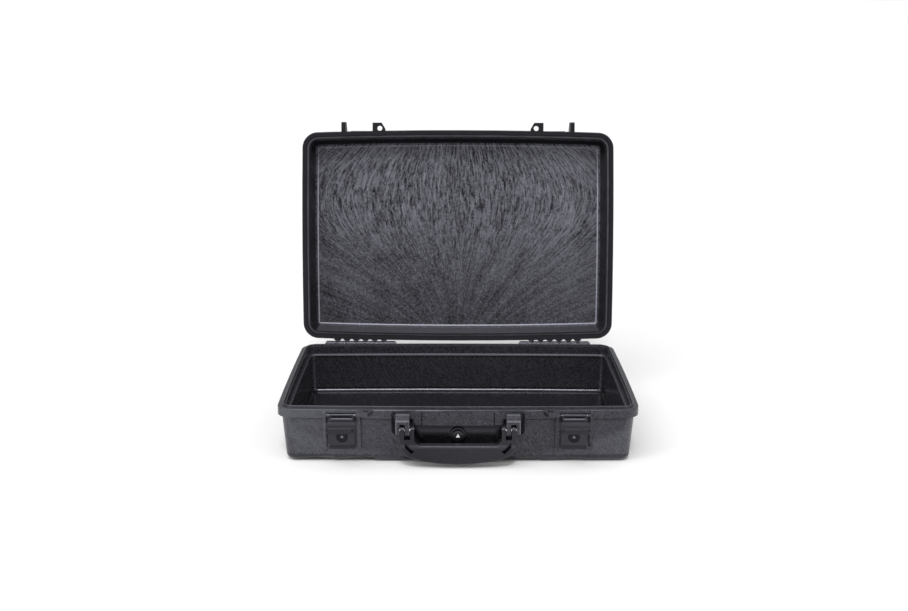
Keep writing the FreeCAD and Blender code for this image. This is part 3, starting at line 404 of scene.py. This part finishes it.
def lid_flow(graph, across, up):
    """The melt's flow marks, fanning up the panel from a low gate, with a painted sheen that grows
    towards the top.
    """
    bend = sum_of(graph, (-0.75, up), (0.95, graph.math("MULTIPLY", up, up)))
    stream = graph.math("MULTIPLY", across, graph.math("EXPONENT", bend))
    fine = graph.combine(graph.math("MULTIPLY", stream, 52.0), graph.math("MULTIPLY", up, 8.0))
    broad = graph.combine(graph.math("MULTIPLY", stream, 4.2), graph.math("MULTIPLY", up, 0.8))
    streaks = graph.noise(fine, 1.0, 4.0, 0.75, 0.8)
    bands = graph.noise(broad, 1.3, 2.0, 0.5, 0.2)
    strength = graph.ramp(up, -0.7, 0.3, 0.12, 1.0)
    marks = graph.math("MULTIPLY", graph.math("SUBTRACT", streaks, 0.5), strength)
    patches = graph.noise(graph.coords, 26.0, 3.0, 0.6)
    mottled = graph.noise(graph.coords, 300.0, 3.0, 0.7)
    # The rise towards the top is a painted sheen.
    value = sum_of(graph, (3.8, marks), (0.6, bands), (1.4, mottled), (0.45, patches),
                   (0.26, graph.ramp(up, -0.9, 0.2)), (0.12, graph.ramp(across, 0.3, 1.2)))
    return graph.math("SUBTRACT", value, 1.05)


def lid_grained(graph):
    """The fine mottling of the lid's outside."""
    blotches = graph.noise(graph.coords, 240.0, 4.0, 0.7)
    mottled = graph.noise(graph.coords, 480.0, 3.0, 0.7)
    return graph.math("SUBTRACT", sum_of(graph, (0.50, mottled), (0.30, blotches)), 0.28)


def lid_moulded():
    """The lid's plastic: flow marks on the inner panel, dark inner walls, a mottled outside, a
    painted highlight along the panel's edge and painted shade on the top inner wall.
    """
    graph = Graph("lid_moulded")
    low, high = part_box("lid_gasket")
    middle = (low + high) / 2
    half = (high.z - low.z) / 2
    across = graph.math("DIVIDE", axis_part(graph, 0), half)
    climb = graph.math("SUBTRACT", graph.dot(graph.coords, LID_UP), middle.dot(LID_UP))
    up = graph.math("DIVIDE", climb, half)
    depth = graph.math("SUBTRACT", graph.dot(graph.coords, LID_BACK), middle.dot(LID_BACK))
    outward = graph.math("SUBTRACT", graph.dot(graph.coords, graph.facing),
                         graph.dot(graph.facing, middle))
    outside = above(graph, outward, LID_OUTSIDE_MM, 7.0)
    indoors = graph.math("SUBTRACT", 1.0, outside)
    panel = both(graph, above(graph, depth, LID_PANEL_MM, 6.0), indoors)
    face = both(graph, above(graph, depth, LID_FACE_MM, 4.0), indoors)
    wall = graph.math("SUBTRACT", face, panel)
    # A painted highlight along the fillet at the panel's edge, fainter near the top.
    highlight_line = both(graph, inside(graph, depth, LID_HIGHLIGHT_LINE_MM, 0.3), indoors,
                  graph.ramp(up, 0.5, 0.8, 1.0, 0.25))
    # Painted shade: the top inner wall reflects less.
    shaded_top_wall = both(graph, wall, graph.ramp(up, 0.7, 0.85))
    normal, slow = satin_grain(graph, 1500.0, 0.00002)
    value = sum_of(graph, (1.0, both(graph, lid_flow(graph, across, up), panel)), (0.02, wall),
                   (1.0, both(graph, lid_grained(graph), outside)), (0.08, slow))
    colour(graph, value, FULL, 0.003, 0.130)
    overlay(graph, highlight_line, 0.26)
    drive(graph, "Roughness", value, FULL, (0.18, 0.42), (0.18, outside))
    drive(graph, "Specular IOR Level", value, FULL, (0.35, 0.85), (-0.08, wall), (-0.3, shaded_top_wall))
    skin(graph, normal)
    return graph.material


# ---------------------------------------------------------------- metal, rubber and inlays

def pin_steel():
    """Ground steel with fine brush lines across its length."""
    graph = Graph("pin_steel")
    lines = graph.noise(graph.scaled(graph.coords, (1.0, 60.0, 60.0)), 60.0, 3.0, 0.6)
    graph.shader.inputs["Metallic"].default_value = 1.0
    graph.put(graph.shader.inputs["Base Color"],
              graph.blend(lines, (0.32, 0.32, 0.328, 1.0), (0.40, 0.40, 0.41, 1.0)))
    drive(graph, "Roughness", lines, MIDDLE, (0.24, 0.38))
    graph.put(graph.shader.inputs["Normal"], graph.bump(lines, 0.00002))
    return graph.material


def lock_metal():
    """Dark plated die casting round a brighter worn keyway."""
    graph = Graph("lock_metal")
    x, z = axis_part(graph, 0), axis_part(graph, 2)
    aside = graph.math("SUBTRACT", graph.math("ABSOLUTE", x), LOCK_CENTRE_MM[0] * MM)
    upward = graph.math("SUBTRACT", z, LOCK_CENTRE_MM[1] * MM)
    squares = sum_of(graph, (1.0, graph.math("MULTIPLY", aside, aside)),
                     (1.0, graph.math("MULTIPLY", upward, upward)))
    worn = below(graph, graph.math("SQRT", squares), 1.2, 1.0)
    lines = graph.noise(graph.scaled(graph.coords, (1.0, 1.0, 6.0)), 900.0, 3.0, 0.6)
    graph.shader.inputs["Metallic"].default_value = 1.0
    graph.put(graph.shader.inputs["Base Color"], graph.blend(worn, grey(0.02), grey(0.22)))
    drive(graph, "Roughness", lines, MIDDLE, (0.16, 0.34))
    graph.put(graph.shader.inputs["Normal"], graph.bump(lines, 0.00003))
    return graph.material


def seal_rubber_and_painted_highlight():
    """The gasket's dull rubber, paler than the plastic: partly its own grey, partly a painted
    highlight on its ring.
    """
    graph = Graph("seal")
    fine = graph.noise(graph.coords, 1400.0, 3.0, 0.6)
    slow = graph.noise(graph.coords, 40.0, 2.0, 0.5)
    # Paler than the plastic: partly the rubber's grey, partly a painted highlight on the ring.
    colour(graph, slow, MIDDLE, 0.05, 0.09)
    drive(graph, "Roughness", slow, MIDDLE, (0.5, 0.62))
    graph.put(graph.shader.inputs["Normal"], graph.bump(fine, 0.00005))
    return graph.material


def pale_inlay(name):
    """The near-white plastic of the valve's mark and membrane."""
    graph = Graph(name)
    fine = graph.noise(graph.coords, 900.0, 2.0, 0.5)
    graph.put(graph.shader.inputs["Base Color"],
              graph.blend(fine, (0.74, 0.74, 0.74, 1.0), (0.86, 0.86, 0.86, 1.0)))
    graph.shader.inputs["Roughness"].default_value = 0.4
    graph.put(graph.shader.inputs["Normal"], graph.bump(fine, 0.00003))
    return graph.material


MATERIALS = {
    "moulded": base_moulded(),
    "lid_moulded": lid_moulded(),
    "handle_moulded": handle_moulded(),
    "latch_moulded": latch_moulded(),
    "seal": seal_rubber_and_painted_highlight(),
    "steel": pin_steel(),
    "lock_metal": lock_metal(),
    "valve_moulded": valve_moulded(),
    "membrane": pale_inlay("membrane"),
    "mark": pale_inlay("mark"),
}


def paint_nodes():
    """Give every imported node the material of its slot."""
    for entry in frame["record"]["subparts"]:
        node = NODES[entry["node"]]
        node.data.materials.clear()
        node.data.materials.append(MATERIALS[entry["material_slot"]])


# ---------------------------------------------------------------- softened edges

BEVELS_MM = {
    "base_shell": 0.5,
    "lid_shell": 0.5,
    "handle": 0.5,
    "purge_knob": 0.25,
}
for side in ("left", "right"):
    BEVELS_MM[f"latch_claw_{side}"] = 0.4
    BEVELS_MM[f"latch_lever_{side}"] = 0.35
    BEVELS_MM[f"lock_housing_{side}"] = 0.25
    BEVELS_MM[f"lock_cylinder_{side}"] = 0.2


def soften_edges():
    """Round the sharp edges that moulding and tumbling leave slightly soft."""
    for name, width in BEVELS_MM.items():
        bevel = NODES[name].modifiers.new("soft_edge", "BEVEL")
        bevel.width = width * MM
        bevel.segments = 2
        bevel.limit_method = "ANGLE"
        bevel.angle_limit = math.radians(38.0)
        bevel.use_clamp_overlap = True
        bevel.harden_normals = True


# ---------------------------------------------------------------- floor, light and camera

def make_floor():
    """A wide pale floor just under the case."""
    mesh = bpy.data.meshes.new("floor")
    reach = 150.0
    corners = [(-reach, -reach, 0), (reach, -reach, 0), (reach, reach, 0), (-reach, reach, 0)]
    mesh.from_pydata(corners, [], [(0, 1, 2, 3)])
    floor = bpy.data.objects.new("floor", mesh)
    floor.location.z = -0.0004
    bpy.context.scene.collection.objects.link(floor)
    graph = Graph("pale_floor")
    tone = graph.noise(graph.coords, 3.0)
    graph.put(graph.shader.inputs["Base Color"],
              graph.blend(tone, (0.93, 0.93, 0.93, 1.0), (0.95, 0.95, 0.95, 1.0)))
    graph.shader.inputs["Roughness"].default_value = 0.9
    graph.shader.inputs["Specular IOR Level"].default_value = 0.1
    mesh.materials.append(graph.material)


def make_light(name, place, target, width, height, power):
    """A softbox aimed at a point."""
    data = bpy.data.lights.new(name, "AREA")
    data.shape = "RECTANGLE"
    data.size = width
    data.size_y = height
    data.energy = power
    lamp = bpy.data.objects.new(name, data)
    lamp.location = place
    lamp.rotation_euler = (Vector(target) - Vector(place)).to_track_quat("-Z", "Y").to_euler()
    bpy.context.scene.collection.objects.link(lamp)


def make_sun(name, place, strength, spread):
    """Parallel light from one side, its disc this many degrees across."""
    data = bpy.data.lights.new(name, "SUN")
    data.energy = strength
    data.angle = math.radians(spread)
    lamp = bpy.data.objects.new(name, data)
    lamp.rotation_euler = (-Vector(place)).to_track_quat("-Z", "Y").to_euler()
    bpy.context.scene.collection.objects.link(lamp)


def make_lights():
    """A pale sky, a wide and a narrow sun from above the front, and a softbox on each side."""
    world = bpy.data.worlds.new("studio")
    bpy.context.scene.world = world
    world.use_nodes = True
    back = world.node_tree.nodes["Background"]
    back.inputs["Color"].default_value = (1.0, 1.0, 1.0, 1.0)
    back.inputs["Strength"].default_value = 0.55
    make_sun("overhead", (-0.4, -0.6, 1.0), 1.2, 60.0)
    make_sun("key", (0.0, -0.62, 0.78), 1.1, 12.0)
    make_light("softbox_left", (-2.6, -1.9, 0.9), (0, 0.1, 0.2), 0.5, 1.3, 16.0)
    make_light("softbox_right", (2.6, -1.9, 0.9), (0, 0.1, 0.2), 0.5, 1.3, 14.0)


def make_camera():
    """The view of the reference: a little above the rim, almost square on to the front."""
    data = bpy.data.cameras.new("view")
    data.sensor_width = 36.0
    data.lens = 50.362
    data.clip_start = 0.05
    data.clip_end = 400.0
    camera = bpy.data.objects.new("view", data)
    place = Vector((-0.0044, -1.8114, 0.6287))
    pitch, yaw, roll = (math.radians(a) for a in (90.0 - 13.782, 0.046, 0.083))
    turn = (Matrix.Rotation(yaw, 4, "Z") @ Matrix.Rotation(pitch, 4, "X")
            @ Matrix.Rotation(roll, 4, "Z"))
    camera.matrix_world = Matrix.Translation(place) @ turn
    bpy.context.scene.collection.objects.link(camera)
    bpy.context.scene.camera = camera


paint_nodes()
soften_edges()
make_floor()
make_lights()
make_camera()
bpy.context.scene.view_settings.view_transform = "Standard"
